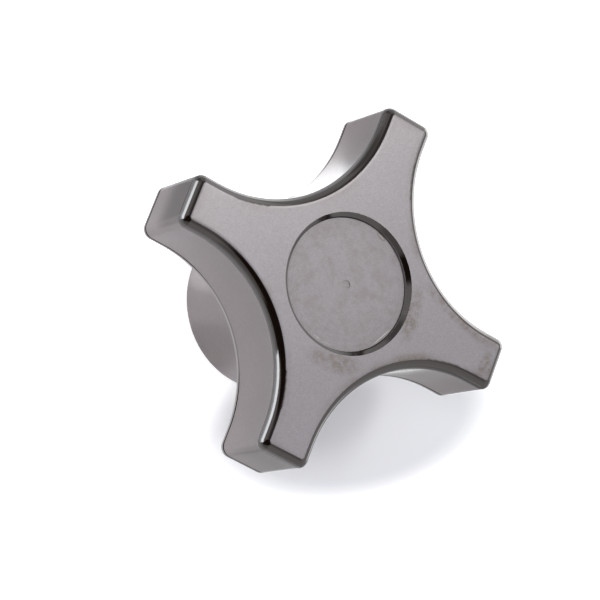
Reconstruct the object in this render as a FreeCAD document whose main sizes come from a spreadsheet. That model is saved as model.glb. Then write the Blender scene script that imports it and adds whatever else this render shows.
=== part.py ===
import FreeCAD, Part
import math
import os

import Sketcher

# Four-armed clamping knob of a meat grinder.
# The knob stands on its hub: the hub's rear face is z = 0, the axis is +Z, and the front face of the
# cross looks up. One arm points along +X and the next along +Y. All sizes are in millimetres.

DRIVING_SIZES = {
    # The cross: four parallel-sided arm ends that run together through round scallops.
    "arm_reach": (35.0, "axis to the flat end of an arm"),
    "arm_width": (10.5, "width of an arm over its parallel end"),
    "arm_straight": (4.75, "length of the parallel end of an arm"),
    "cross_thickness": (16.5, "front face to rear face of the cross"),
    "edge_radius": (1.9, "rounding of the front edges and of the arms' upright corners"),
    "rear_edge_bevel": (0.4, "bevel of the rear edges of the cross"),
    # The hub behind the cross.
    "hub_length": (17.5, "rear face of the cross to rear face of the hub"),
    "hub_ledge": (0.1, "flat strip left between the hub's root and the scallops' rear edges"),
    "hub_root_radius": (0.7, "rounding between the hub and the cross"),
    "hub_rim_bevel": (0.8, "bevel of the hub's rear rim"),
    # The seat and the well in the front face, which take the cap.
    "face_land": (2.7, "flat left between the rounded scallop edge and the seat's rim"),
    "seat_rim_bevel": (0.75, "bevel of the seat's rim"),
    "cap_sink": (1.25, "depth of the cap's face below the front face"),
    "seat_ledge": (2.0, "width of the shoulder that the cap rests on"),
    "web_thickness": (4.0, "wall between the well's floor and the bush"),
    # The cap with its snap legs.
    "cap_clearance": (0.05, "radial gap round the cap and its legs"),
    "cap_thickness": (2.2, "thickness of the cap's disc"),
    "cap_edge_bevel": (0.1, "bevel of the cap's upper edge"),
    "leg_length": (4.5, "length of the snap legs under the disc"),
    "leg_wall": (1.3, "wall of the snap legs"),
    "leg_slot": (9.0, "width of the slot between two snap legs"),
    "bead_height": (0.3, "how far the legs' bead stands out"),
    "bead_length": (1.2, "height of the legs' bead along the axis"),
    "gate_diameter": (1.6, "diameter of the gate mark in the cap's face"),
    "gate_depth": (0.15, "depth of the gate mark"),
    # The threaded bush, moulded into the hub.
    "bush_hexagon": (16.0, "width over the flats of the bush's hexagon"),
    "bush_length": (18.0, "length of the bush"),
    "flange_lip": (0.8, "how far the flange stands out past the hexagon's corners"),
    "flange_thickness": (2.5, "thickness of the flange at the hub's rear face"),
    "lock_diameter": (13.0, "diameter at the floor of the locking groove"),
    "lock_width": (3.5, "width of the locking groove"),
    "thread_bore": (8.5, "bore of the blind hole, before the thread is cut"),
    "thread_chamfer": (0.9, "chamfer at the mouth of the thread"),
    "bush_end_wall": (1.5, "metal left past the drill point"),
}

ARM_COUNT = 4
LEG_COUNT = 4
HEXAGON_SIDES = 6
FULL_TURN = 360.0
DRILL_HALF_ANGLE = 59.0
EDGE_SIZE = {"Fillet": "Radius", "Chamfer": "Size"}
TOLERANCE = 0.001

# Lengths that follow from the driving sizes, as formulas over the sheet.
HALF_ARM = "(sizes.arm_width / 2)"
SCALLOP_CENTRE = "(sizes.arm_reach - sizes.arm_straight)"
SCALLOP_RADIUS = f"({SCALLOP_CENTRE} - {HALF_ARM})"
SCALLOP_FLOOR = f"({SCALLOP_CENTRE} * sqrt(2) - {SCALLOP_RADIUS})"
HUB_RADIUS = f"({SCALLOP_FLOOR} - sizes.rear_edge_bevel - sizes.hub_ledge - sizes.hub_root_radius)"
KNOB_HEIGHT = "(sizes.hub_length + sizes.cross_thickness)"

RIM_RADIUS = f"({SCALLOP_FLOOR} - sizes.edge_radius - sizes.face_land)"
SEAT_RADIUS = f"({RIM_RADIUS} - sizes.seat_rim_bevel)"
CAP_FACE = f"({KNOB_HEIGHT} - sizes.cap_sink)"
SEAT_FLOOR = f"({CAP_FACE} - sizes.cap_thickness)"
WELL_RADIUS = f"({SEAT_RADIUS} - sizes.seat_ledge)"
WELL_FLOOR = "(sizes.bush_length + sizes.web_thickness)"

CAP_RADIUS = f"({SEAT_RADIUS} - sizes.cap_clearance)"
LEG_RADIUS = f"({WELL_RADIUS} - sizes.cap_clearance)"
LEG_END = f"({SEAT_FLOOR} - sizes.leg_length)"

HEXAGON_CORNER = f"(sizes.bush_hexagon / 2 / cos({FULL_TURN / HEXAGON_SIDES / 2}))"
FLANGE_RADIUS = f"({HEXAGON_CORNER} + sizes.flange_lip)"
LOCK_START = "((sizes.flange_thickness + sizes.bush_length - sizes.lock_width) / 2)"
BORE_RADIUS = "(sizes.thread_bore / 2)"
DRILL_POINT = f"({BORE_RADIUS} / tan({DRILL_HALF_ANGLE}))"
BORE_END = "(sizes.bush_length - sizes.bush_end_wall)"

doc = FreeCAD.newDocument("meat_grinder_knob")


def make_sheet():
    """The sheet of driving sizes: name, value and meaning in one row each."""
    sheet = doc.addObject("Spreadsheet::Sheet", "sizes")
    for row, (name, (value, meaning)) in enumerate(DRIVING_SIZES.items(), start=1):
        sheet.set(f"A{row}", name)
        sheet.set(f"B{row}", str(value))
        sheet.set(f"C{row}", meaning)
        sheet.setAlias(f"B{row}", name)
    doc.recompute()
    return sheet


sizes = make_sheet()


def length(formula):
    """The value of a formula over the sheet, as a plain number."""
    return float(sizes.evalExpression(formula))


def new_body(label):
    """An empty body whose label is the name of the piece."""
    body = doc.addObject("PartDesign::Body", label)
    body.Label = label
    return body


def new_sketch(body, name, plane, offset=None):
    """A sketch on one of the body's own origin planes, moved along its normal by a formula."""
    sketch = body.newObject("Sketcher::SketchObject", name)
    support = next(item for item in body.Origin.OriginFeatures if item.Role == plane)
    sketch.AttachmentSupport = [(support, "")]
    sketch.MapMode = "FlatFace"
    if offset:
        sketch.setExpression("AttachmentOffset.Base.z", offset)
    return sketch


def dimension(sketch, kind, references, name, formula):
    """A dimension of the sketch, bound to a formula."""
    index = sketch.addConstraint(Sketcher.Constraint(kind, *references, length(formula)))
    sketch.renameConstraint(index, name)
    sketch.setExpression(f"Constraints.{name}", formula)


def place_point(sketch, edge, end, name, across, along):
    """Ties one end of an edge to its distances from the two axes of the sketch."""
    ways = (("DistanceX", -2, "across", across), ("DistanceY", -1, "along", along))
    for kind, axis, part, formula in ways:
        if formula == "0":
            sketch.addConstraint(Sketcher.Constraint("PointOnObject", edge, end, axis))
        else:
            dimension(sketch, kind, (-1, 1, edge, end), f"{name}_{part}", formula)


def draw_circle(sketch, name, radius):
    """A circle round the sketch's origin."""
    circle = Part.Circle(FreeCAD.Vector(0, 0, 0), FreeCAD.Vector(0, 0, 1), length(radius))
    edge = sketch.addGeometry(circle)
    sketch.addConstraint(Sketcher.Constraint("Coincident", edge, 3, -1, 1))
    dimension(sketch, "Radius", (edge,), name, radius)


def draw_outline(sketch, corners):
    """A closed outline of straight edges through named corners, each tied to the sketch's axes."""
    points = [FreeCAD.Vector(length(across), length(along), 0) for _, across, along in corners]
    edges = []
    for start, end in zip(points, points[1:] + points[:1]):
        edges.append(sketch.addGeometry(Part.LineSegment(start, end)))
    for edge, following in zip(edges, edges[1:] + edges[:1]):
        sketch.addConstraint(Sketcher.Constraint("Coincident", edge, 2, following, 1))
    for edge, (name, across, along) in zip(edges, corners):
        place_point(sketch, edge, 1, name, across, along)


def pad(body, name, sketch, height):
    """Material from the sketch's plane upwards."""
    feature = body.newObject("PartDesign::Pad", name)
    feature.Profile = sketch
    feature.setExpression("Length", height)
    return feature


def pocket(body, name, sketch, depth):
    """A cut from the sketch's plane upwards."""
    feature = body.newObject("PartDesign::Pocket", name)
    feature.Profile = sketch
    feature.Reversed = True
    feature.setExpression("Length", depth)
    return feature


def turned(body, kind, name, sketch):
    """A Revolution or a Groove once round the axis, which is the sketch's upright."""
    feature = body.newObject(f"PartDesign::{kind}", name)
    feature.Profile = sketch
    feature.ReferenceAxis = (sketch, ["V_Axis"])
    feature.Angle = FULL_TURN
    return feature


def repeat_round_axis(body, name, feature, count):
    """Evenly spaced copies of a feature round the axis."""
    axis = next(item for item in body.Origin.OriginFeatures if item.Role == "Z_Axis")
    pattern = body.newObject("PartDesign::PolarPattern", name)
    pattern.Originals = [feature]
    pattern.Axis = (axis, [""])
    pattern.Angle = FULL_TURN
    pattern.Occurrences = count
    body.Tip = pattern
    return pattern


def finish_edges(body, kind, name, size, belongs):
    """A Fillet or a Chamfer on every edge of the body so far that passes the test."""
    doc.recompute()
    base = body.Tip
    names = [f"Edge{i}" for i, edge in enumerate(base.Shape.Edges, start=1) if belongs(edge)]
    if not names:
        raise RuntimeError(f"{name}: no edge passes")
    feature = body.newObject(f"PartDesign::{kind}", name)
    feature.Base = (base, names)
    feature.setExpression(EDGE_SIZE[kind], size)
    return feature


def at_height(edge, height):
    """True for an edge that lies level at this height."""
    return all(abs(corner.Z - height) < TOLERANCE for corner in edge.Vertexes)


def is_ring(edge, radius, height):
    """True for a full circle round the axis with this radius and height."""
    if edge.Degenerated or not edge.isClosed() or not at_height(edge, height):
        return False
    return isinstance(edge.Curve, Part.Circle) and abs(edge.Curve.Radius - radius) < TOLERANCE


def draw_scallop(sketch):
    """One quarter of what the cross lacks: a round scallop and the square corner outside it."""
    centre, radius, half_arm, reach = (
        length(formula) for formula in (SCALLOP_CENTRE, SCALLOP_RADIUS, HALF_ARM, "sizes.arm_reach")
    )
    circle = Part.Circle(FreeCAD.Vector(centre, centre, 0), FreeCAD.Vector(0, 0, 1), radius)
    arc = sketch.addGeometry(Part.ArcOfCircle(circle, math.pi, math.pi * 3 / 2))
    # From the arc's lower end along one arm, round the square corner and back along the other arm.
    corners = [(centre, half_arm), (reach, half_arm), (reach, reach), (half_arm, reach), (half_arm, centre)]
    points = [FreeCAD.Vector(*corner, 0) for corner in corners]
    edges = [sketch.addGeometry(Part.LineSegment(*ends)) for ends in zip(points, points[1:])]
    for edge, following in zip(edges, edges[1:]):
        sketch.addConstraint(Sketcher.Constraint("Coincident", edge, 2, following, 1))
    for edge in (edges[0], edges[2]):
        sketch.addConstraint(Sketcher.Constraint("Horizontal", edge))
    for edge in (edges[1], edges[3]):
        sketch.addConstraint(Sketcher.Constraint("Vertical", edge))
    sketch.addConstraint(Sketcher.Constraint("Tangent", arc, 2, edges[0], 1))
    sketch.addConstraint(Sketcher.Constraint("Tangent", edges[3], 2, arc, 1))
    place_point(sketch, arc, 3, "scallop_centre", SCALLOP_CENTRE, SCALLOP_CENTRE)
    dimension(sketch, "Radius", (arc,), "scallop_radius", SCALLOP_RADIUS)
    place_point(sketch, edges[1], 2, "block_corner", "sizes.arm_reach", "sizes.arm_reach")


def bush_outside(body, flange_and_hexagon, ring):
    """The bush's outer form: metal in the bush, and the hollow that it leaves in the knob."""
    flange_sketch = new_sketch(body, "bush_flange_circle", "XY_Plane")
    draw_circle(flange_sketch, "flange_radius", FLANGE_RADIUS)
    flange_and_hexagon(body, "bush_flange", flange_sketch, "sizes.flange_thickness")

    hexagon_sketch = new_sketch(body, "bush_hexagon_outline", "XY_Plane", "sizes.flange_thickness")
    corners = []
    for corner in range(HEXAGON_SIDES):
        turn = corner * FULL_TURN / HEXAGON_SIDES
        across, along = (f"{HEXAGON_CORNER} * {ratio}({turn})" for ratio in ("cos", "sin"))
        corners.append((f"corner_{corner}", across, along))
    draw_outline(hexagon_sketch, corners)
    flange_and_hexagon(body, "bush_hexagon", hexagon_sketch, "sizes.bush_length - sizes.flange_thickness")

    lock_sketch = new_sketch(body, "bush_lock_section", "XZ_Plane")
    lock_radius, lock_end = "sizes.lock_diameter / 2", f"{LOCK_START} + sizes.lock_width"
    draw_outline(
        lock_sketch,
        [
            ("start_inside", lock_radius, LOCK_START),
            ("start_outside", FLANGE_RADIUS, LOCK_START),
            ("end_outside", FLANGE_RADIUS, lock_end),
            ("end_inside", lock_radius, lock_end),
        ],
    )
    turned(body, ring, "bush_lock", lock_sketch)


def make_knob_body():
    """The moulded cross and hub, with the seat for the cap and the hollow for the bush."""
    body = new_body("knob_body")

    hub_sketch = new_sketch(body, "hub_circle", "XY_Plane")
    draw_circle(hub_sketch, "hub_radius", HUB_RADIUS)
    pad(body, "hub", hub_sketch, KNOB_HEIGHT)

    # The cross is a square block with a scallop cut out of each corner.
    block_sketch = new_sketch(body, "cross_block", "XY_Plane", "sizes.hub_length")
    near, far = "-sizes.arm_reach", "sizes.arm_reach"
    draw_outline(block_sketch, [("a", far, far), ("b", near, far), ("c", near, near), ("d", far, near)])
    pad(body, "cross", block_sketch, "sizes.cross_thickness")
    scallop_sketch = new_sketch(body, "scallop_outline", "XY_Plane", "sizes.hub_length")
    draw_scallop(scallop_sketch)
    scallop = pocket(body, "scallop", scallop_sketch, "sizes.cross_thickness")
    repeat_round_axis(body, "scallops", scallop, ARM_COUNT)

    # One rolling ball rounds the front edges and the arms' upright corners, so the corners come out
    # as eighths of a ball and the flat front face keeps sharp corners.
    reach, front, rear = length("sizes.arm_reach"), length(KNOB_HEIGHT), length("sizes.hub_length")
    hub_radius = length(HUB_RADIUS)

    def front_or_upright(edge):
        middle = edge.CenterOfMass
        at_end = abs(max(abs(middle.x), abs(middle.y)) - reach) < TOLERANCE
        upright = at_end and not at_height(edge, front) and not at_height(edge, rear)
        return upright or at_height(edge, front)

    def rear_outline(edge):
        return at_height(edge, rear) and not is_ring(edge, hub_radius, rear)

    finish_edges(body, "Fillet", "front_edges", "sizes.edge_radius", front_or_upright)
    finish_edges(body, "Chamfer", "rear_edges", "sizes.rear_edge_bevel", rear_outline)
    finish_edges(
        body, "Chamfer", "hub_rim", "sizes.hub_rim_bevel", lambda edge: is_ring(edge, hub_radius, 0)
    )
    finish_edges(
        body, "Fillet", "hub_root", "sizes.hub_root_radius", lambda edge: is_ring(edge, hub_radius, rear)
    )

    # The seat and the well under it, turned from one section with the bevel of the seat's rim.
    seat_sketch = new_sketch(body, "seat_section", "XZ_Plane")
    draw_outline(
        seat_sketch,
        [
            ("well_middle", "0", WELL_FLOOR),
            ("well_foot", WELL_RADIUS, WELL_FLOOR),
            ("well_mouth", WELL_RADIUS, SEAT_FLOOR),
            ("seat_foot", SEAT_RADIUS, SEAT_FLOOR),
            ("seat_mouth", SEAT_RADIUS, f"{KNOB_HEIGHT} - sizes.seat_rim_bevel"),
            ("seat_rim", RIM_RADIUS, KNOB_HEIGHT),
            ("face_middle", "0", KNOB_HEIGHT),
        ],
    )
    turned(body, "Groove", "seat_and_well", seat_sketch)
    catch_sketch = new_sketch(body, "catch_section", "XZ_Plane")
    draw_bead(catch_sketch, WELL_RADIUS, "sizes.cap_clearance")
    turned(body, "Groove", "bead_catch", catch_sketch)

    bush_outside(body, pocket, "Revolution")
    return body


def draw_bead(sketch, wall, play):
    """The snap bead's section on a wall: a low ridge whose foot is longer by the play at both ends."""
    low, high = f"{LEG_END} - {play}", f"{LEG_END} + sizes.bead_length + {play}"
    draw_outline(
        sketch,
        [
            ("low", wall, low),
            ("crest", f"{wall} + sizes.bead_height", f"{LEG_END} + sizes.bead_length / 2"),
            ("high", wall, high),
        ],
    )


def make_cap():
    """The cover disc: bevelled edge, gate mark, and a ring of snap legs that catch in the well."""
    body = new_body("cap")
    inner_leg = f"({LEG_RADIUS} - sizes.leg_wall)"
    section = new_sketch(body, "cap_section", "XZ_Plane")
    draw_outline(
        section,
        [
            ("under_middle", "0", SEAT_FLOOR),
            ("leg_root_inside", inner_leg, SEAT_FLOOR),
            ("leg_end_inside", inner_leg, LEG_END),
            ("leg_end_outside", LEG_RADIUS, LEG_END),
            ("leg_root_outside", LEG_RADIUS, SEAT_FLOOR),
            ("rim_under", CAP_RADIUS, SEAT_FLOOR),
            ("rim_face", CAP_RADIUS, CAP_FACE),
            ("face_middle", "0", CAP_FACE),
        ],
    )
    turned(body, "Revolution", "disc_and_legs", section)
    bead_sketch = new_sketch(body, "bead_section", "XZ_Plane")
    draw_bead(bead_sketch, LEG_RADIUS, "0")
    turned(body, "Revolution", "bead", bead_sketch)

    slot_sketch = new_sketch(body, "slot_outline", "XY_Plane", LEG_END)
    half_slot, slot_end = "sizes.leg_slot / 2", CAP_RADIUS
    draw_outline(
        slot_sketch,
        [
            ("inner_left", "0", f"-{half_slot}"),
            ("outer_left", slot_end, f"-{half_slot}"),
            ("outer_right", slot_end, half_slot),
            ("inner_right", "0", half_slot),
        ],
    )
    slot = pocket(body, "leg_slot", slot_sketch, "sizes.leg_length")
    repeat_round_axis(body, "leg_slots", slot, LEG_COUNT)

    face, radius = length(CAP_FACE), length(CAP_RADIUS)
    finish_edges(
        body, "Chamfer", "cap_edge", "sizes.cap_edge_bevel", lambda edge: is_ring(edge, radius, face)
    )
    gate_sketch = new_sketch(body, "gate_circle", "XY_Plane", f"{CAP_FACE} - sizes.gate_depth")
    draw_circle(gate_sketch, "gate_radius", "sizes.gate_diameter / 2")
    pocket(body, "gate_mark", gate_sketch, "sizes.gate_depth")
    return body


def make_threaded_bush():
    """The brass bush: flange, hexagon, locking groove and a blind hole for the thread."""
    body = new_body("threaded_bush")
    bush_outside(body, pad, "Groove")
    bore_sketch = new_sketch(body, "bore_section", "XZ_Plane")
    draw_outline(
        bore_sketch,
        [
            ("mouth_middle", "0", "0"),
            ("mouth", f"{BORE_RADIUS} + sizes.thread_chamfer", "0"),
            ("wall_start", BORE_RADIUS, "sizes.thread_chamfer"),
            ("wall_end", BORE_RADIUS, f"{BORE_END} - {DRILL_POINT}"),
            ("drill_point", "0", BORE_END),
        ],
    )
    turned(body, "Groove", "bore", bore_sketch)
    return body


def check_and_write(bodies):
    """Stops on any failed feature or bad solid, then writes one file for each piece."""
    doc.recompute()
    for item in doc.Objects:
        if "Invalid" in item.State or "Error" in item.State:
            raise RuntimeError(f"{item.Name}: {item.State}")
    os.makedirs("parts", exist_ok=True)
    for body in bodies:
        shape = body.Shape
        if shape.isNull() or not shape.isValid() or len(shape.Solids) != 1:
            raise RuntimeError(f"{body.Label}: not one valid solid")
        shape.exportStep(f"parts/{body.Label}.step")
        box = shape.BoundBox
        print(f"{body.Label}: volume {shape.Volume:.1f}, faces {len(shape.Faces)}, "
              f"x {box.XMin:.2f} to {box.XMax:.2f}, z {box.ZMin:.2f} to {box.ZMax:.2f}")


check_and_write([make_knob_body(), make_cap(), make_threaded_bush()])
print(f"hub radius {length(HUB_RADIUS):.3f}, scallop radius {length(SCALLOP_RADIUS):.3f}, "
      f"seat radius {length(SEAT_RADIUS):.3f}")
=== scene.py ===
# %% [markdown]
# # A clamping knob from a kitchen grinder
# The part is a four-armed knob: one thick moulding of dark plastic with deep round finger scallops,
# a small round cap sunk in its front face, and a brass bush with a thread moulded into its hub.
# The solids come from the CAD model and are not changed here. This lesson gives them their finishes,
# cuts the thread that the solids leave out, and sets up the camera, the floor and the light.

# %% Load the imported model
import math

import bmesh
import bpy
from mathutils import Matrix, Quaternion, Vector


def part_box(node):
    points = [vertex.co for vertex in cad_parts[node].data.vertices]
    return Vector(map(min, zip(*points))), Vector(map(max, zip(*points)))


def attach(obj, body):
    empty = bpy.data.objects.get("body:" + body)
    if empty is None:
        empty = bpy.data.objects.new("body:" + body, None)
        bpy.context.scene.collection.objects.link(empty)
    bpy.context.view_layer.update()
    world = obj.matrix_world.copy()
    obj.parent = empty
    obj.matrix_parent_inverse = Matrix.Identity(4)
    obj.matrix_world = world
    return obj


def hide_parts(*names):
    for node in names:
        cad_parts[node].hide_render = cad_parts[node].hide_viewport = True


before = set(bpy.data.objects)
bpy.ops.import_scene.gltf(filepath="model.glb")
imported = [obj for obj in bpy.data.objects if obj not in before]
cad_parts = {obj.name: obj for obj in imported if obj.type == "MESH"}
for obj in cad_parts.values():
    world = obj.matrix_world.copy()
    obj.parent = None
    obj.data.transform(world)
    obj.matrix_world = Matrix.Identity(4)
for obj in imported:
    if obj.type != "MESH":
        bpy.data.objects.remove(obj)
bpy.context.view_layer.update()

# %% [markdown]
# ## Tools of the lesson
# New meshes are made with bmesh, because its operators work on plain mesh data and need no selection.
# Blender counts in metres and a knob is easier to think of in millimetres, so one factor is kept for
# that. Angles are given in degrees.

MM = 0.001
print("nodes:", sorted(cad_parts))

# %% [markdown]
# ## Sizes of the model
# Sizes are read from the boxes of the solids where those show them, so a change of the CAD model moves
# the marks and the finishes with it. The others are the CAD model's own sizes, repeated here. The knob
# stands on its hub with its front face up, and its axis is +Z. The scallops are round, and their centres
# lie on the diagonals between the arms.

# %% Sizes
body_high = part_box("knob_body")[1]
cap_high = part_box("cap")[1]
arm_reach, front_z = body_high.x, body_high.z
cap_radius, cap_z = cap_high.x, cap_high.z
arm_straight, arm_width = 4.75 * MM, 10.5 * MM
scallop_centre = arm_reach - arm_straight
scallop_radius = scallop_centre - arm_width / 2
edge_radius = 1.9 * MM
hub_radius = 16.6 * MM
cross_rear_z = 17.5 * MM
print(f"arm reach {arm_reach / MM:.1f} mm, front face at {front_z / MM:.1f} mm")
print(f"cap radius {cap_radius / MM:.2f} mm, sunk {(front_z - cap_z) / MM:.2f} mm")

# %% [markdown]
# ## The camera
# The photograph looks down at the face from about sixty degrees above it, from between the left and the
# lower arm, and it is turned about the line of sight so that one arm points up the picture. A long lens
# far away gives the weak perspective. The camera is set by an azimuth and an elevation round the knob
# and by a roll about its own axis, because those three are easy to read off and to correct.

# %% Camera
view_azimuth, view_elevation, view_roll = -52.15, 60.53, 76.80
camera_distance = 0.5045
aim_point = Vector((5.525, 3.242, 3.590)) * MM
photo_pixels = 600
focal_pixels = 2619.6
clip_ratio = 50

azimuth, elevation = math.radians(view_azimuth), math.radians(view_elevation)
towards_camera = Vector((
    math.sin(azimuth) * math.cos(elevation), -math.cos(azimuth) * math.cos(elevation), math.sin(elevation)))
camera_data = bpy.data.cameras.new("photo_camera")
camera = bpy.data.objects.new("photo_camera", camera_data)
bpy.context.scene.collection.objects.link(camera)
bpy.context.scene.camera = camera
camera_data.lens = camera_data.sensor_width * focal_pixels / photo_pixels
camera_data.clip_start = camera_distance / clip_ratio
camera_data.clip_end = camera_distance * clip_ratio
camera.rotation_mode = "QUATERNION"
level = (-towards_camera).to_track_quat("-Z", "Y")
camera.rotation_quaternion = level @ Quaternion((0, 0, 1), math.radians(view_roll))
camera.location = aim_point + towards_camera * camera_distance
print(f"lens {camera_data.lens:.1f} mm at {camera_distance:.3f} m")

# %% [markdown]
# ## Shader maths
# A procedural material is mostly arithmetic. `Wire` stands for the output of a node, so that masks can be
# written as plain expressions. Every sum or product of wires adds one math node to the tree.

# %% Wire
class Wire:
    """The output of a node, which can be added, multiplied and so on."""

    def __init__(self, recipe, socket):
        self.recipe, self.socket = recipe, socket

    def maths(self, operation, first, second=0.0):
        """Adds a Math node to the tree and gives its output."""
        return self.recipe.node("ShaderNodeMath", {"operation": operation}, {0: first, 1: second})

    def __add__(self, other):
        return self.maths("ADD", self, other)

    def __sub__(self, other):
        return self.maths("SUBTRACT", self, other)

    def __rsub__(self, other):
        return self.maths("SUBTRACT", other, self)

    def __mul__(self, other):
        return self.maths("MULTIPLY", self, other)

    def __truediv__(self, other):
        return self.maths("DIVIDE", self, other)

    def __abs__(self):
        return self.maths("ABSOLUTE", self)

    __radd__ = __add__
    __rmul__ = __mul__

    def larger(self, other):
        """The larger of the two."""
        return self.maths("MAXIMUM", self, other)

    def between(self, low, high):
        """A number that goes from low to high as this mask goes from 0 to 1."""
        return low + (high - low) * self


# %% [markdown]
# ## Recipes for node trees
# A `Recipe` holds the node tree of one material, and each of its methods adds one kind of node or one kind
# of mask. The same tree could be wired by hand in the shader editor. A written one can be read from top to
# bottom, and a change in one mask reaches every material that uses it.

# %% Recipe
class Recipe:
    """The node tree of one material."""

    def __init__(self, tree):
        self.tree = tree
        self.tree.nodes.clear()

    def node(self, kind, settings=None, inputs=None, output=0):
        """Adds a node, sets it, feeds its inputs with numbers or wires, and gives one output back."""
        node = self.tree.nodes.new(kind)
        for name, value in (settings or {}).items():
            setattr(node, name, value)
        for name, value in (inputs or {}).items():
            if isinstance(value, Wire):
                self.tree.links.new(value.socket, node.inputs[name])
            else:
                node.inputs[name].default_value = value
        return Wire(self, node.outputs[output]) if len(node.outputs) else None

    def blend(self, amount, *colours):
        """A colour that goes from the first to the second as the amount goes from 0 to 1."""
        first, second = (colour if isinstance(colour, Wire) else (*colour, 1.0) for colour in colours)
        return self.node("ShaderNodeMix", {"data_type": "RGBA"}, {0: amount, 6: first, 7: second}, 2)

    def rise(self, value, low, high):
        """A mask that goes softly from 0 at low to 1 at high."""
        return self.node(
            "ShaderNodeMapRange", {"interpolation_type": "SMOOTHSTEP"},
            {"Value": value, "From Min": low, "From Max": high})

    def fall(self, value, low, high):
        """A mask that goes softly from 1 at low to 0 at high."""
        return 1.0 - self.rise(value, low, high)

    def band(self, value, middle, half_width, soft):
        """A mask that is 1 within half_width of the middle and fades out over the soft distance."""
        return self.fall(abs(value - middle), half_width, half_width + soft)

    def noise(self, place, size, detail=3.0, roughness=0.55):
        """Cloudy noise from 0 to 1 whose blotches are about this large in metres."""
        return self.node(
            "ShaderNodeTexNoise", {},
            {"Vector": place, "Scale": 1.0 / size, "Detail": detail, "Roughness": roughness})

    def parts(self, vector):
        """The three numbers of a vector."""
        return [self.node("ShaderNodeSeparateXYZ", {}, {"Vector": vector}, axis) for axis in range(3)]

    def vector(self, x, y):
        """A vector with these two parts and nothing along the third axis."""
        return self.node("ShaderNodeCombineXYZ", {}, {0: x, 1: y, 2: 0.0})

    def length(self, vector):
        """How long a vector is."""
        return self.node("ShaderNodeVectorMath", {"operation": "LENGTH"}, {0: vector}, "Value")


def new_material(name):
    """A material with an empty node tree."""
    material = bpy.data.materials.new(name)
    material.use_nodes = True
    return material, Recipe(material.node_tree)


# %% [markdown]
# ## Where a point lies on the moulding
# The finishes and the marks of wear follow the shape, so a few distances are worked out once for each
# material: from the axis, from the nearest scallop and from the nearest arm end. The knob is the same
# in its four quarters, so the point is folded into one of them with absolute values first. Noises of
# three sizes can be added, and a seed moves them, so that no two pieces show the same pattern.

# %% Places
cloud_size, mottle_size, grain_size = 8 * MM, 0.9 * MM, 0.22 * MM
seed_direction = (1.0, 0.7, 0.3)


class Places:
    """Wires for the place of a point on the knob and for the way that its surface faces."""

    def __init__(self, recipe):
        self.point = recipe.node("ShaderNodeTexCoord", output="Object")
        facing = recipe.node("ShaderNodeTexCoord", output="Normal")
        self.upward = recipe.parts(facing)[2]
        self.x, self.y, self.z = recipe.parts(self.point)
        self.radius = recipe.length(recipe.vector(self.x, self.y))
        folded_x, folded_y = abs(self.x), abs(self.y)
        from_centre = recipe.vector(folded_x - scallop_centre, folded_y - scallop_centre)
        self.from_scallop = recipe.length(from_centre) - scallop_radius
        self.from_arm_end = arm_reach - folded_x.larger(folded_y)

    def add_noises(self, recipe, seed):
        """Clouds, a mottle and a fine grain, which the finish and the marks share."""
        self.shifted = recipe.node(
            "ShaderNodeMapping", {},
            {"Vector": self.point, "Location": [seed * part for part in seed_direction]})
        self.clouds = recipe.noise(self.shifted, cloud_size)
        self.mottle = recipe.noise(self.shifted, mottle_size, roughness=0.6)
        self.grain = recipe.noise(self.shifted, grain_size, detail=2.0)


# %% [markdown]
# ## Soft oval spots
# A stain, a scuff or a shadow is a soft oval at a measured place. A texture would need a picture, so the
# oval is a mapping instead: it is moved, turned and scaled to the spot, and the distance from its middle
# fades the mask. All spots are given in millimetres and degrees, as a middle, a turn and two half axes.

# %% Spot
spot_half_height = 3 * MM


def spot(recipe, point, height, middle, turn, half_length, half_width, full_share=0.6, gone_share=1.1):
    """A mask on the level surface at a height, long along the direction that the turn gives."""
    own = recipe.node(
        "ShaderNodeMapping", {"vector_type": "TEXTURE"},
        {"Vector": point, "Location": (middle[0] * MM, middle[1] * MM, height),
         "Rotation": (0.0, 0.0, math.radians(turn)),
         "Scale": (half_length * MM, half_width * MM, spot_half_height)})
    return recipe.fall(recipe.length(own), full_share, gone_share)


# %% [markdown]
# ## The satin
# On the real knob the flats and the scallop walls have a fine satin surface that looks mid grey. The
# walls get a browner satin than the flats, a painted tint of the warm light bounced onto them. The upper
# part of the walls and the arm ends are darker, the left arm's most of all, because the real knob leans
# over and mirrors other things there. This one stands upright, so those shades are painted on. Each is
# one blend from the colour so far towards another, so it can be changed or left out by itself.

# %% Shades of the satin
# The walls get a browner satin than the flats, a painted tint of the warm light bounced onto them.
satin_level, satin_wall_painted_tint = (0.290, 0.277, 0.306), (0.298, 0.259, 0.262)
# A darker satin: the noises darken towards it as real tone, and it is also the painted shade up the walls.
darker_satin_and_painted_shade = (0.160, 0.146, 0.153)
# The colour of the painted shade on the arm ends.
end_painted_shade = (0.085, 0.076, 0.076)
# A fade is a pair: where its mask starts to change and where it has changed.
level_fade, wall_fade = (0.2, 0.8), (0.3, 0.9)
upper_wall_fade, upper_wall_share = (cross_rear_z + 2 * MM, front_z - edge_radius), 0.5
arm_end_fade, left_arm_fade = (0.3 * MM, 0.9 * MM), (-33 * MM, -30 * MM)
left_end_fade, left_end_shares = (21.5 * MM, 28 * MM), (0.0, 0.92)
other_end_fade, other_end_shares = (20 * MM, 30 * MM), (0.12, 0.50)


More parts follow.
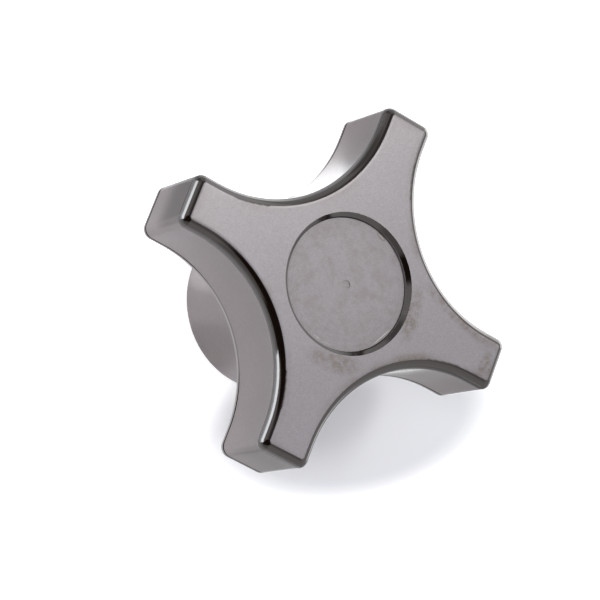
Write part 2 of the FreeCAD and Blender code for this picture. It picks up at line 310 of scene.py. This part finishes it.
def satin_with_painted_shade(recipe, at):
    """The colour of clean satin, with its painted tint on the walls and painted shade up the walls and at
    the arm ends.
    """
    on_wall = recipe.fall(abs(at.upward), *wall_fade)
    # Painted tint: the walls are browner than the flats.
    colour = recipe.blend(recipe.rise(at.upward, *level_fade), satin_wall_painted_tint, satin_level)
    # Painted shade up the walls.
    painted_upper_wall_shade = recipe.rise(at.z, *upper_wall_fade) * on_wall
    colour = recipe.blend(painted_upper_wall_shade * upper_wall_share, colour, darker_satin_and_painted_shade)

    # Painted shade on the arm ends, strongest high up on the left arm.
    on_end = recipe.fall(at.from_arm_end, *arm_end_fade) * on_wall
    on_left_arm = recipe.fall(at.x, *left_arm_fade)
    left_shade = recipe.rise(at.z, *left_end_fade).between(*left_end_shares)
    other_shade = recipe.rise(at.z, *other_end_fade).between(*other_end_shares)
    end_shade = on_end * (other_shade + on_left_arm * (left_shade - other_shade))
    return recipe.blend(end_shade, colour, end_painted_shade)


# %% [markdown]
# ## Grain, stains and dust
# Up close the satin isn't one flat grey. Three noises darken it a little, from broad clouds down to a
# grain that is just visible. A bump alone could make the grain, but from this far it shows more as tone
# than as relief. The stains come in as a mask, because each piece has its own, and so do its pale marks:
# scuffs on the cap, and a painted highlight on a strip near the rear of the cross. Pale specks of dust lie
# on top.

# %% Grain, stains and dust on the satin
stain_brown = (0.130, 0.098, 0.084)
# Pale colour of dust specks and scuffs, and of the painted highlight on the strip behind the groove.
dust_and_sheen_pale = (0.62, 0.61, 0.60)
cloud_fade, mottle_fade, grain_fade = (0.35, 0.65), (0.35, 0.70), (0.34, 0.62)
cloud_share, mottle_share, grain_share = 0.08, 0.12, 0.34
speck_spacing, speck_edge, speck_share = 2.4 * MM, (0.025, 0.055), 0.5
speck_places = (0.52, 0.60)


def marked_satin(recipe, at, stain, dust_and_sheen):
    """The satin with its noises, with the stains of its piece, and with specks, scuffs and painted
    highlights on top.
    """
    colour = satin_with_painted_shade(recipe, at)
    for noise, fade, share in (
            (at.clouds, cloud_fade, cloud_share), (at.mottle, mottle_fade, mottle_share),
            (at.grain, grain_fade, grain_share)):
        colour = recipe.blend(recipe.rise(noise, *fade) * share, colour, darker_satin_and_painted_shade)
    colour = recipe.blend(stain, colour, stain_brown)
    from_speck = recipe.node(
        "ShaderNodeTexVoronoi", {}, {"Vector": at.shifted, "Scale": 1 / speck_spacing})
    specks = recipe.fall(from_speck, *speck_edge) * recipe.rise(at.mottle, *speck_places)
    return recipe.blend((specks * speck_share).larger(dust_and_sheen), colour, dust_and_sheen_pale)


# %% [markdown]
# ## The moulded plastic
# The rounded edges of the real knob are polished and almost black, so they mirror the room. The direction
# that the surface faces tells them from the satin: it is between level and upright only on a rounding. A
# clear coat makes the polish, and it also covers walls that are seen at a flat slant, where real satin
# turns glossy. The index is above plastic's own 1.5, because the real room was about twice as bright as
# white paper and this one is not. The groove that the mesh leaves out gets a dull black shader of its
# own, which is painted shade for what the groove would hold.

# %% Moulded plastic
polished_dark = (0.006, 0.003, 0.002)
# Painted shade of the parting groove, which the mesh doesn't have.
groove_painted_shade = (0.020, 0.017, 0.016, 1.0)
gloss_index, gloss_tint = 1.8, (1.0, 0.93, 0.90, 1.0)
polish_roughness, coat_roughness, mottle_roughness = 0.10, 0.08, 0.05
grain_depth, grain_strength = 0.006 * MM, 0.25
# How far up a surface faces where a rounding starts at the wall and where it ends at the flat.
rounding_start, rounding_end = (0.02, 0.20), (0.972, 0.992)
slant_fade = (0.66, 0.78)


def moulding(name, seed, satin_roughness, marks):
    """The plastic of a moulding. The marks of one piece come as masks: polish, stain, pale marks and the
    groove, whose black is painted shade.
    """
    material, recipe = new_material(name)
    at = Places(recipe)
    at.add_noises(recipe, seed)
    polish, stain, dust_and_sheen, groove = marks(recipe, at)
    rounded = recipe.rise(at.upward, *rounding_start) * recipe.fall(at.upward, *rounding_end)
    polished = rounded.larger(polish)
    dull = 1.0 - polished
    slant = recipe.rise(recipe.node("ShaderNodeLayerWeight", output="Facing"), *slant_fade)

    colour = recipe.blend(polished, marked_satin(recipe, at, stain, dust_and_sheen), polished_dark)
    roughness = (satin_roughness + mottle_roughness * at.mottle) * dull + polish_roughness * polished
    bump = recipe.node(
        "ShaderNodeBump", {},
        {"Strength": grain_strength, "Distance": grain_depth, "Height": at.grain * dull})
    plastic = recipe.node(
        "ShaderNodeBsdfPrincipled", {},
        {"Base Color": colour, "Roughness": roughness, "IOR": gloss_index, "Specular Tint": gloss_tint,
         "Coat Weight": polished.larger(slant), "Coat Roughness": coat_roughness, "Normal": bump})
    # The groove's black shader is painted shade.
    shadow = recipe.node("ShaderNodeBsdfDiffuse", {}, {"Color": groove_painted_shade})
    surface = recipe.node("ShaderNodeMixShader", {}, {0: groove, 1: plastic, 2: shadow})
    recipe.node("ShaderNodeOutputMaterial", {}, {"Surface": surface})
    return material


def dress(node_name, material):
    """Gives a CAD node its material."""
    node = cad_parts[node_name]
    node.data.materials.clear()
    node.data.materials.append(material)
    print(f"{node_name}: {material.name}, {len(node.data.polygons)} triangles")


# %% [markdown]
# ## Stains of the cross and hub
# Handling has left faint brown stains where fingers touch: along the scallops, at the arm ends and beside
# the cap. They could be painted by hand on an unwrapped surface, but that needs a picture. Here soft ovals
# say where they lie and two noises break them up, because a clean outline would look painted on.

# %% Stains of the cross and hub
face_fade = (0.90, 0.99)
speckle_size, speckle_fade, speckle_least = 0.30 * MM, (0.36, 0.64), 0.40
patch_size, patch_fade, patch_least = 1.5 * MM, (0.38, 0.60), 0.30
scallop_edge = (edge_radius * 1.05, edge_radius * 1.75)
arm_end_edge = (edge_radius * 1.1, edge_radius * 1.8)
stained_clouds, edge_stain_share = (0.34, 0.60), 0.9
right_side, left_least = (4 * MM, 14 * MM), 0.35
# Each stain: its middle, its turn, half its length and half its width.
face_stains = [
    ((14.0, 0.6), 96.0, 6.4, 2.2), ((3.0, -14.4), 10.0, 7.0, 2.4), ((31.2, 4.2), 60.0, 3.4, 2.4),
    ((-18.5, 8.2), 32.0, 11.0, 1.7), ((31.8, -1.8), 90.0, 4.4, 1.5), ((22.0, 4.9), -16.0, 11.0, 1.5)]
stain_full_share = 0.35


def face_stain(recipe, at):
    """Brown stains along the edges of the face and at measured places."""
    speckles = recipe.noise(at.point, speckle_size, detail=4.0, roughness=0.7)
    patches = recipe.noise(at.point, patch_size, detail=4.0, roughness=0.7)
    speckled = recipe.rise(speckles, *speckle_fade).between(speckle_least, 1.0)
    patchy = speckled * recipe.rise(patches, *patch_fade).between(patch_least, 1.0)
    cloudy = speckled * recipe.rise(at.clouds, *stained_clouds) * recipe.rise(at.upward, *face_fade)

    by_scallop = recipe.fall(at.from_scallop, *scallop_edge)
    by_end = recipe.fall(at.from_arm_end, *arm_end_edge)
    to_the_right = recipe.rise(at.x, *right_side).between(left_least, 1.0)
    stain = by_scallop.larger(by_end) * cloudy * to_the_right * edge_stain_share
    for mark in face_stains:
        stain = stain.larger(spot(recipe, at.point, front_z, *mark, stain_full_share) * patchy)
    return stain


# %% [markdown]
# ## Seat and parting groove
# The wall of the round seat is polished like the edges. Near the rear a fine groove runs round the walls
# where the two halves of the mould met, and the strip behind it gets a painted pale highlight. The groove
# could be cut into the mesh, but it is only a third of a millimetre wide, so a dark band of painted shade
# in the material stands for it.

# %% Seat and groove of the cross and hub
seat_wall_fade = (cap_radius + 0.15 * MM, cap_radius + 0.25 * MM)
seat_depth_fade, seat_polish = (cap_z - 1 * MM, cap_z), 0.35
groove_z, groove_half, groove_soft = cross_rear_z + 1.25 * MM, 0.17 * MM, 0.12 * MM
# A strip just behind the groove gets a painted pale highlight.
painted_strip_z, painted_strip_half, painted_strip_soft = cross_rear_z + 0.65 * MM, 0.30 * MM, 0.10 * MM
painted_strip_share = 0.36
upright_fade = (0.02, 0.10)
far_out_fade, near_least = (19 * MM, 26 * MM), 0.30


def body_marks(recipe, at):
    """Polish, stain, painted highlight and painted groove shade of the cross and hub."""
    in_seat = recipe.fall(at.radius, *seat_wall_fade) * recipe.rise(at.z, *seat_depth_fade)
    upright = recipe.fall(abs(at.upward), *upright_fade)
    far_out = recipe.rise(at.radius, *far_out_fade).between(near_least, 1.0)
    # The groove's dark band is painted shade.
    groove = recipe.band(at.z, groove_z, groove_half, groove_soft) * upright * far_out
    # The painted highlight on the strip behind the groove.
    dust_and_sheen = recipe.band(at.z, painted_strip_z, painted_strip_half, painted_strip_soft) * upright * painted_strip_share
    return in_seat * seat_polish, face_stain(recipe, at), dust_and_sheen, groove


dress("knob_body", moulding("knob_plastic", seed=0.0, satin_roughness=0.27, marks=body_marks))

# %% [markdown]
# ## Marks of the cap
# The cap is made of the same plastic, a little duller. It carries the small marks of a moulded disc: a
# faint ring round the gate at its centre, an oblong press mark near its rim, and pale scuffs where a
# tool pressed it home. All of them are soft masks at measured places, because they are too shallow for a
# shape of their own.

# %% Cap
side_fade = (cap_radius - 0.02 * MM, cap_radius - 0.01 * MM)
gate_radius, gate_half, gate_soft, gate_share = 0.55 * MM, 0.03 * MM, 0.10 * MM, 0.45
gate_side, gate_breaks = (-0.2 * MM, 0.5 * MM), (0.42, 0.56)
press_place, press_outside, press_inside = ((3.2, 11.45), -19.0), (1.30, 0.55), (0.95, 0.25)
brown_size, brown_fade, brown_share = 2.6 * MM, (0.40, 0.66), 0.34
turning_size, turning_fade, turning_share = 0.5 * MM, (0.4, 0.7), 0.08
# Each scuff: its middle, its turn, half its length and half its width.
short_scuffs = [((-1.9, -11.5), -8.0, 0.9, 0.16), ((0.4, -11.7), 4.0, 1.1, 0.12)]
long_scuff = ((10.4, -5.6), 62.0, 2.6, 0.10)
short_scuff_share, short_scuff_breaks, long_scuff_share = 0.5, (0.46, 0.60), 0.7


def cap_marks(recipe, at):
    """Polish, stain, dust and groove of the cap, which has no groove."""
    def on_cap(*mark):
        """A spot on the top of the cap."""
        return spot(recipe, at.point, cap_z, *mark)

    side = recipe.rise(at.radius, *side_fade)
    gate = recipe.band(at.radius, gate_radius, gate_half, gate_soft) * recipe.rise(at.x, *gate_side)
    gate = gate * recipe.rise(at.mottle, *gate_breaks) * gate_share
    press = on_cap(*press_place, *press_outside) - on_cap(*press_place, *press_inside)
    brown_clouds = recipe.noise(at.point, brown_size, detail=5.0, roughness=0.75)
    turning = recipe.noise(recipe.vector(at.radius, 0.0), turning_size, detail=2.0)
    stain = recipe.rise(brown_clouds, *brown_fade) * brown_share
    stain = stain + recipe.rise(turning, *turning_fade) * turning_share

    first, second = (on_cap(*scuff) for scuff in short_scuffs)
    short = first.larger(second) * recipe.rise(at.grain, *short_scuff_breaks) * short_scuff_share
    dust_and_sheen = short.larger(on_cap(*long_scuff) * long_scuff_share)
    return side, stain.larger(gate).larger(press), dust_and_sheen, 0.0


dress("cap", moulding("cap_plastic", seed=0.05, satin_roughness=0.34, marks=cap_marks))

# %% [markdown]
# ## The threaded bush
# The real bush is turned and tapped brass. The solid has a smooth hole in place of its thread, so here a
# copy of the solid loses the hole's wall and gets a cut thread instead. The thread could be a boolean of
# a long coil, but a spin of one tooth's outline with a little lift at each step gives a cleaner mesh. The
# tube is spun too long and cut level at both ends.

# %% One tooth, spun into a threaded tube
thread_pitch = 1.5 * MM
crest_radius, root_radius = 4.25 * MM, 5.0 * MM
thread_start, thread_end = 0.6 * MM, 13.2 * MM
steps_per_turn = 48
# The tube is spun this many turns too long, and it begins this many turns below the thread's start.
spare_turns, spare_below = 2, 1.5
merge_distance, cut_distance = thread_pitch / 1000, thread_pitch / 10000
# Each corner of the tooth: its radius and how far along one pitch it lies.
tooth_corners = [
    (crest_radius, 0.0), (crest_radius, 0.25), (root_radius, 0.5625), (root_radius, 0.6875),
    (crest_radius, 1.0)]

bush = bmesh.new()
turns = math.ceil((thread_end - thread_start) / thread_pitch) + spare_turns
corners = [
    bush.verts.new((radius, 0.0, thread_start + (share - spare_below) * thread_pitch))
    for radius, share in tooth_corners]
tooth = [bush.edges.new(pair) for pair in zip(corners, corners[1:])]
bmesh.ops.spin(
    bush, geom=corners + tooth, cent=(0, 0, 0), axis=(0, 0, 1), dvec=(0, 0, thread_pitch / steps_per_turn),
    angle=math.tau * turns, steps=steps_per_turn * turns, use_merge=False)
bmesh.ops.remove_doubles(bush, verts=bush.verts, dist=merge_distance)


def cut_level(mesh, height, keep_above):
    """Cuts the mesh level at a height and keeps one side of it."""
    bmesh.ops.bisect_plane(
        mesh, geom=mesh.verts[:] + mesh.edges[:] + mesh.faces[:], dist=cut_distance,
        plane_co=(0, 0, height), plane_no=(0, 0, 1), clear_inner=keep_above, clear_outer=not keep_above)


cut_level(bush, thread_start, True)
cut_level(bush, thread_end, False)
print(f"thread: {turns - spare_turns} turns, {len(bush.faces)} faces")

# %% [markdown]
# ## The rest of the bush
# The copy of the solid loses the faces inside its hole, and the cut thread takes their place. Bridges
# between open rims close the two gaps: a sloping mouth at the bottom, and a step where the thread ends.
# No edge stays open, which is printed at the end.

# %% The rest of the bush, joined to the thread
mouth_radius, hole_end = 5.15 * MM, 13.946 * MM
slack, weld_distance = 0.01 * MM, 0.001 * MM

solid = bmesh.new()
solid.from_mesh(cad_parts["threaded_bush"].data)
bmesh.ops.remove_doubles(solid, verts=solid.verts, dist=weld_distance)


def in_hole(vertex):
    """True for a corner on the wall of the hole, short of the drill's point."""
    return vertex.co.xy.length < mouth_radius + slack and vertex.co.z < hole_end + slack


hole_wall = [face for face in solid.faces if all(in_hole(vertex) for vertex in face.verts)]
bmesh.ops.delete(solid, geom=hole_wall, context="FACES")
shell = bpy.data.meshes.new("bush_shell")
solid.to_mesh(shell)
solid.free()
bush.from_mesh(shell)
bpy.data.meshes.remove(shell)


def rim(mesh, height):
    """The open edges of the mesh at one level."""
    return [edge for edge in mesh.edges if edge.is_boundary
            and all(abs(vertex.co.z - height) < slack for vertex in edge.verts)]


for low, high in ((0.0, thread_start), (hole_end, thread_end)):
    joined = bmesh.ops.bridge_loops(bush, edges=rim(bush, low) + rim(bush, high))
    print(f"joined the levels {low / MM:.2f} and {high / MM:.2f} mm with {len(joined['faces'])} faces")
bmesh.ops.recalc_face_normals(bush, faces=bush.faces)
open_edges = sum(edge.is_boundary for edge in bush.edges)
print(f"open edges: {open_edges}")

# %% [markdown]
# ## The bush as a piece
# The finished mesh becomes an object that rides on the knob's one body and stands for the solid bush. Its
# flanks are shaded smooth and its edges stay sharp, which an angle between the faces decides. Marking the
# edges by hand would give the same, but it would have to be done again after each change of the thread.

# %% Bush
sharp_angle = 32

bush_mesh = bpy.data.meshes.new("bush_with_thread")
bush.to_mesh(bush_mesh)
bush.free()
bush_mesh.shade_smooth()
bush_mesh.set_sharp_from_angle(angle=math.radians(sharp_angle))
bush_piece = bpy.data.objects.new("bush_with_thread", bush_mesh)
bpy.context.scene.collection.objects.link(bush_piece)
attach(bush_piece, "root")
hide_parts("threaded_bush")
print(f"bush: {len(bush_mesh.polygons)} faces")

# %% [markdown]
# ## Brass
# Turned brass shows fine rings round the axis from the tool, and it dulls in brown clouds. The rings could
# be modelled, but they are far too fine to be worth the faces. They are noise that is read along the
# radius and the height only, so they run truly round.

# %% Turned brass
brass_bright, brass_dull = (0.74, 0.54, 0.26), (0.52, 0.35, 0.16)
brass_cloud_size, brass_cloud_fade, brass_roughness = 3 * MM, (0.4, 0.7), (0.20, 0.38)
ring_size, ring_depth, ring_strength = 0.12 * MM, 0.01 * MM, 0.3


def turned_brass(name):
    """Brass with the rings of the turning tool."""
    material, recipe = new_material(name)
    at = Places(recipe)
    clouds = recipe.noise(at.point, brass_cloud_size)
    rings = recipe.noise(recipe.vector(at.radius, at.z), ring_size, detail=2.0)
    colour = recipe.blend(recipe.rise(clouds, *brass_cloud_fade), brass_bright, brass_dull)
    bump = recipe.node(
        "ShaderNodeBump", {}, {"Strength": ring_strength, "Distance": ring_depth, "Height": rings})
    shader = recipe.node(
        "ShaderNodeBsdfPrincipled", {},
        {"Base Color": colour, "Metallic": 1.0, "Roughness": clouds.between(*brass_roughness),
         "Normal": bump})
    recipe.node("ShaderNodeOutputMaterial", {}, {"Surface": shader})
    return material


bush_mesh.materials.append(turned_brass("turned_brass"))
print("bush_with_thread:", bush_mesh.materials[0].name)

# %% [markdown]
# ## The sheet under the knob
# The real knob lies on a large white sheet whose edges can't be seen. A curved backdrop would do as well,
# but a flat sheet that is much larger than the picture is simpler and catches the same shadow.

# %% Sheet
floor_half = 3.0

sheet = bmesh.new()
bmesh.ops.create_grid(sheet, x_segments=1, y_segments=1, size=floor_half)
floor_mesh = bpy.data.meshes.new("floor")
sheet.to_mesh(floor_mesh)
sheet.free()
floor = bpy.data.objects.new("floor", floor_mesh)
bpy.context.scene.collection.objects.link(floor)
print(f"floor: {2 * floor_half:.0f} m square")

# %% [markdown]
# ## Rays and directions
# The floor and the room both look different to different kinds of rays and towards different sides. Two
# small helpers serve both: one tells the kind of a ray, and one masks the part of a circle round an
# azimuth. The mask compares cosines, which is quicker than an angle and has no jump at half a turn.

# %% Rays and directions
sector_soft = 6


def kind_of_ray(recipe, name):
    """1 for rays of this kind and 0 for all others."""
    return recipe.node("ShaderNodeLightPath", output=name)


def cosine(degrees):
    """The cosine of an angle in degrees."""
    return math.cos(math.radians(degrees))


def sector(recipe, x, y, azimuth, half_width):
    """A mask of the directions, or of the places, within this many degrees of an azimuth."""
    along = (x * cosine(azimuth) + y * cosine(azimuth - 90)) / recipe.length(recipe.vector(x, y))
    return recipe.rise(along, cosine(half_width + sector_soft), cosine(half_width - sector_soft))


# %% [markdown]
# ## The glossy white paper
# The real sheet is glossy, and it is lit so brightly that it shows pure white. More light would spoil the
# knob, so here the paper glows a little, only for the rays that show it to the camera or in a mirror
# image. An oval without glow and a weaker glow round the foot of the hub keep the real shadow there, and
# they add a painted shade as well, because the paper in them stays greyer than the white round it. The
# real knob leans on two of its arms, so its walls mirror other places of the sheet than they do here.
# Patches of painted shade and painted light, which only mirror images see, make up for that: they darken
# or lighten what the walls show.

# %% White paper
# The grey is painted shade on the paper that only mirror images see.
paper_white, paper_mirrored_shade = (0.875, 0.885, 0.93), (0.20, 0.20, 0.20)
paper_roughness, paper_index = 0.30, 1.5
black, white = (0.0, 0.0, 0.0), (1.0, 1.0, 1.0)
# Weaker glow round the foot of the hub and none in the oval: the real shadow shows there, and the greyer
# paper adds a painted shade.
foot_fade, foot_loss = (hub_radius, hub_radius + 11 * MM), 0.45
shadow_oval, shadow_loss = ((27.0, -11.5), 34.0, 40.0, 19.0), 0.97
# Dark sectors and patches are painted shade, and the bright sector and patches are painted light, for
# mirror images only.
# Each sector: its azimuth and half its width, and how dark a dark one is.
bright_sector, mirror_least = (47.0, 51.0), 0.12
dark_sectors = [(-28.0, 24.0, 0.85), (140.0, 13.0, 0.60)]
# Each patch: its middle and its reach.
bright_patches = [((-7.0, 31.8), 8.5), ((-23.0, 0.0), 8.0)]
dark_patches = [
    ((-53.0, 13.0), 14.0), ((10.0, -46.5), 13.5), ((-16.0, 46.5), 11.0), ((42.0, -10.0), 9.0),
    ((-9.5, -17.0), 8.0)]
dark_patch_share = 0.9


def white_paper(name):
    """Glossy paper whose glow only the camera and mirror images see."""
    material, recipe = new_material(name)
    at = Places(recipe)

    def round_patch(middle, reach):
        """A round spot on the paper."""
        return spot(recipe, at.point, 0.0, middle, 0.0, reach, reach)

    near_foot = recipe.fall(at.radius, *foot_fade)
    shadow = spot(recipe, at.point, 0.0, *shadow_oval)
    to_camera = 1.0 - (foot_loss * near_foot).larger(shadow_loss * shadow)
    # Painted light and painted shade that only mirror images see.
    in_mirror = sector(recipe, at.x, at.y, *bright_sector).between(mirror_least, 1.0)
    in_shade = 0.0
    for azimuth, half_width, share in dark_sectors:
        in_shade = sector(recipe, at.x, at.y, azimuth, half_width) * share + in_shade
    for middle, reach in dark_patches:
        in_shade = (round_patch(middle, reach) * dark_patch_share).larger(in_shade)
    for middle, reach in bright_patches:
        patch = round_patch(middle, reach)
        in_mirror = in_mirror.larger(patch)
        in_shade = in_shade * (1.0 - patch)

    mirrored = kind_of_ray(recipe, "Is Glossy Ray").larger(kind_of_ray(recipe, "Is Transmission Ray"))
    glow = (to_camera * kind_of_ray(recipe, "Is Camera Ray")).larger(in_mirror * mirrored)
    paper = recipe.node(
        "ShaderNodeBsdfPrincipled", {},
        {"Base Color": recipe.blend(in_shade * mirrored, paper_white, paper_mirrored_shade),
         "Roughness": paper_roughness, "IOR": paper_index, "Emission Strength": 1.0,
         "Emission Color": recipe.blend(glow, black, white)})
    recipe.node("ShaderNodeOutputMaterial", {}, {"Surface": paper})
    return material


floor_mesh.materials.append(white_paper("white_sheet"))
print(f"floor: {len(bright_patches)} bright and {len(dark_patches)} dark patches in mirror images")

# %% [markdown]
# ## The room
# The polished edges mirror the room, and reading them backwards tells what it was like: white all round
# down to the floor and somewhat dimmer high up, with a dark patch of ceiling above the camera and a dark
# upright shape behind it. A few panels are lighter or darker than the rest, as windows and furniture are.
# The world is painted that way, from the direction of each ray. The camera itself sees it plain white,
# because a view from the side looks past the far edge of the sheet.

# %% Room
room_level = 0.66
ceiling_middle, ceiling_reach, ceiling_soft = Vector((-0.31, -0.29, 0.906)), 31.0, 5
stand_azimuth, stand_half_width = -140.0, 19.0
# A height is the upward part of a direction, from 0 at the floor to 1 overhead.
stand_top, stand_soft = 0.26, 0.08
dark_share = 0.985
high_fade, high_share = (0.72, 0.86), 0.40
# Each panel: its azimuth and half its width, its height and half its own, and its share of the level.
panels = [
    (70.0, 10.0, 0.47, 0.25, 2.0), (41.0, 20.0, 0.0, 0.24, 5.0), (138.0, 13.0, 0.2, 0.40, 0.45),
    (100.0, 40.0, 0.84, 0.10, 0.40), (-100.0, 20.0, 0.55, 0.25, 0.60)]
panel_soft = 0.10

world = bpy.data.worlds.new("studio")
bpy.context.scene.world = world
world.use_nodes = True
recipe = Recipe(world.node_tree)
direction = recipe.node("ShaderNodeTexCoord", output="Generated")
x, y, z = recipe.parts(direction)
overhead = ceiling_middle.normalized()
along = x * overhead.x + y * overhead.y + z * overhead.z
ceiling = recipe.rise(along, cosine(ceiling_reach + ceiling_soft), cosine(ceiling_reach - ceiling_soft))
above_stand = recipe.rise(z, stand_top - stand_soft, stand_top + stand_soft)
standing = sector(recipe, x, y, stand_azimuth, stand_half_width) * above_stand
high_up = recipe.rise(z, *high_fade)
strength = room_level * (1.0 - dark_share * ceiling.larger(standing)) * (1.0 - high_share * high_up)
for azimuth, half_width, height, half_height, share in panels:
    panel = sector(recipe, x, y, azimuth, half_width) * recipe.band(z, height, half_height, panel_soft)
    strength = strength * (1.0 + panel * (share - 1.0))
seen = kind_of_ray(recipe, "Is Camera Ray")
background = recipe.node(
    "ShaderNodeBackground", {}, {"Color": (*white, 1.0), "Strength": strength.larger(seen)})
recipe.node("ShaderNodeOutputWorld", {}, {"Surface": background})
print(f"room: {len(panels)} panels, {len(world.node_tree.nodes)} nodes")

# %% [markdown]
# ## A lamp that faces the knob
# Each lamp is a glowing rectangle that is turned to the knob. Its brightness is given as a mirror would
# show it, and the power follows from that and from its size. So a lamp can be made larger or smaller
# without a change of the highlight that it leaves on a polished edge.

# %% Softbox
def softbox(name, azimuth, elevation, distance, width, height, radiance, colour=white):
    """A rectangular lamp that faces the knob, as bright as this all over its face."""
    lamp = bpy.data.lights.new(name, "AREA")
    lamp.shape = "RECTANGLE"
    lamp.size, lamp.size_y = width, height
    lamp.energy = radiance * math.pi * width * height
    lamp.color = colour
    holder = bpy.data.objects.new(name, lamp)
    bpy.context.scene.collection.objects.link(holder)
    turn, lift = math.radians(azimuth), math.radians(elevation)
    towards = Vector((math.cos(turn) * math.cos(lift), math.sin(turn) * math.cos(lift), math.sin(lift)))
    holder.location = towards * distance
    holder.rotation_mode = "QUATERNION"
    holder.rotation_quaternion = (-towards).to_track_quat("-Z", "Y")
    holder.visible_camera = False
    level_light = radiance * width * height / distance ** 2 * towards.z / math.pi
    print(f"{name}: {lamp.energy:.2f} W, adds about {level_light:.2f} on level surfaces")
    return holder


# %% [markdown]
# ## The five lamps
# A wide window stands to the knob's left, and it only shows in the polished edges. A small lamp behind the
# knob gives the satin face its sheen. The other three light the plastic without being mirrored in it: a
# soft one on the left throws the shadow to the right, a low one reaches the walls of the lower arms, and
# one above the camera's side keeps the face even.

# %% Lamps
window = softbox(
    "window", azimuth=183.5, elevation=11.0, distance=0.90, width=0.76, height=0.50, radiance=5.6,
    colour=(0.88, 0.94, 1.0))
window.visible_diffuse = False
softbox(
    "sheen_lamp", azimuth=60.7, elevation=60.6, distance=0.90, width=0.20, height=0.20, radiance=11.0)
soft_lamp = softbox(
    "soft_lamp", azimuth=150.0, elevation=16.0, distance=0.60, width=0.40, height=0.30, radiance=2.4)
low_lamp = softbox(
    "low_lamp", azimuth=-70.0, elevation=10.0, distance=0.60, width=0.30, height=0.20, radiance=3.2)
top_lamp = softbox(
    "top_lamp", azimuth=-140.0, elevation=55.0, distance=0.60, width=0.35, height=0.35, radiance=3.6)
for lamp_holder in (soft_lamp, low_lamp, top_lamp):
    lamp_holder.visible_glossy = False

# %% [markdown]
# ## Colour view
# The standard view shows a colour as it is written, without a film curve. So the tones of the picture can
# be compared with the photograph number by number.

# %% Colour view
bpy.context.scene.view_settings.view_transform = "Standard"
print("view:", bpy.context.scene.view_settings.view_transform)
